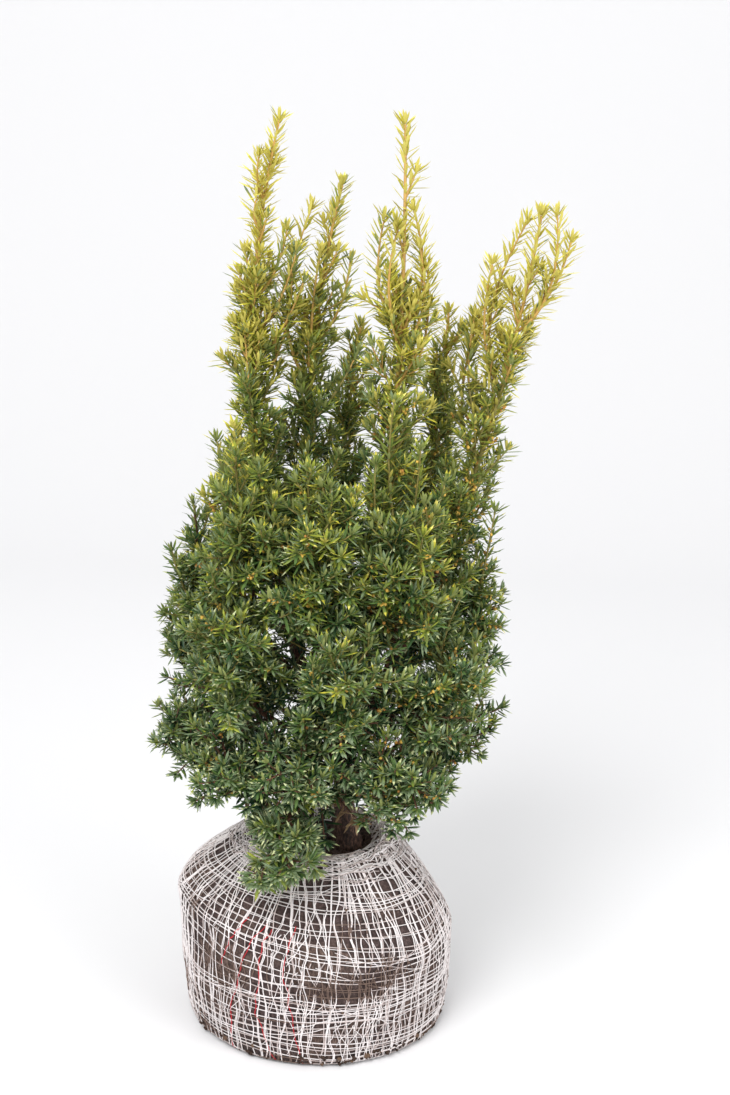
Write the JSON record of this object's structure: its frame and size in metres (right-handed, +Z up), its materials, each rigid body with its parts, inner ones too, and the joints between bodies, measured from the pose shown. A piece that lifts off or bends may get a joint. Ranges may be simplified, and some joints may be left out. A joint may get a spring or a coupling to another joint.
{
  "type": "english yew on a netted root ball",
  "caption": "Upright young english yew with several tall leaders over a dense lower crown, growing from a short trunk on a round netted root ball with a flat underside.",
  "frame": {"origin": "middle of the root ball's flat underside", "axes": "+Z up, -Y towards the front of the plant, +X to its right seen from the front"},
  "size_m": [0.3559, 0.305, 0.7634],
  "materials": {
    "netted_soil": "dark damp soil under white cotton netting",
    "bark": "rough reddish-brown bark",
    "young_bark": "smooth reddish-brown young bark",
    "golden_needles": "golden-green needles",
    "green_needles": "mid-green needles",
    "dark_needles": "deep green needles"
  },
  "bodies": {
    "root": {"root_ball": "netted_soil", "trunk": "bark", "left_stem": "bark", "left_leader_bough": "young_bark", "middle_leader_bough": "young_bark", "tall_leader_bough": "young_bark", "right_leader_bough": "young_bark", "small_leader_bough": "young_bark", "back_leader_bough": "young_bark", "left_side_leader_bough": "young_bark", "front_crown_bough": "young_bark", "front_left_crown_bough": "young_bark", "front_right_crown_bough": "young_bark", "back_right_crown_bough": "young_bark", "back_left_crown_bough": "young_bark", "mid_front_bough": "young_bark", "mid_front_right_bough": "young_bark", "mid_right_bough": "young_bark", "mid_back_right_bough": "young_bark", "mid_back_bough": "young_bark", "mid_left_bough": "young_bark", "mid_front_left_bough": "young_bark", "low_front_bough": "young_bark", "low_middle_bough": "young_bark", "low_front_left_bough": "young_bark", "low_left_bough": "young_bark", "low_back_left_bough": "young_bark", "low_back_bough": "young_bark", "low_back_right_bough": "young_bark", "low_right_bough": "young_bark", "low_front_right_bough": "young_bark", "left_leader": "golden_needles", "middle_leader": "golden_needles", "tall_leader": "golden_needles", "right_leader": "golden_needles", "small_leader": "golden_needles", "back_leader": "golden_needles", "left_side_leader": "golden_needles", "front_crown": "green_needles", "front_left_crown": "green_needles", "front_right_crown": "green_needles", "back_right_crown": "green_needles", "back_left_crown": "green_needles", "mid_front": "green_needles", "mid_front_right": "green_needles", "mid_right": "green_needles", "mid_back_right": "green_needles", "mid_back": "green_needles", "mid_left": "green_needles", "mid_front_left": "green_needles", "low_front": "dark_needles", "low_middle": "dark_needles", "low_front_left": "dark_needles", "low_left": "dark_needles", "low_back_left": "dark_needles", "low_back": "dark_needles", "low_back_right": "dark_needles", "low_right": "dark_needles", "low_front_right": "dark_needles"}
  },
  "joints": []
}
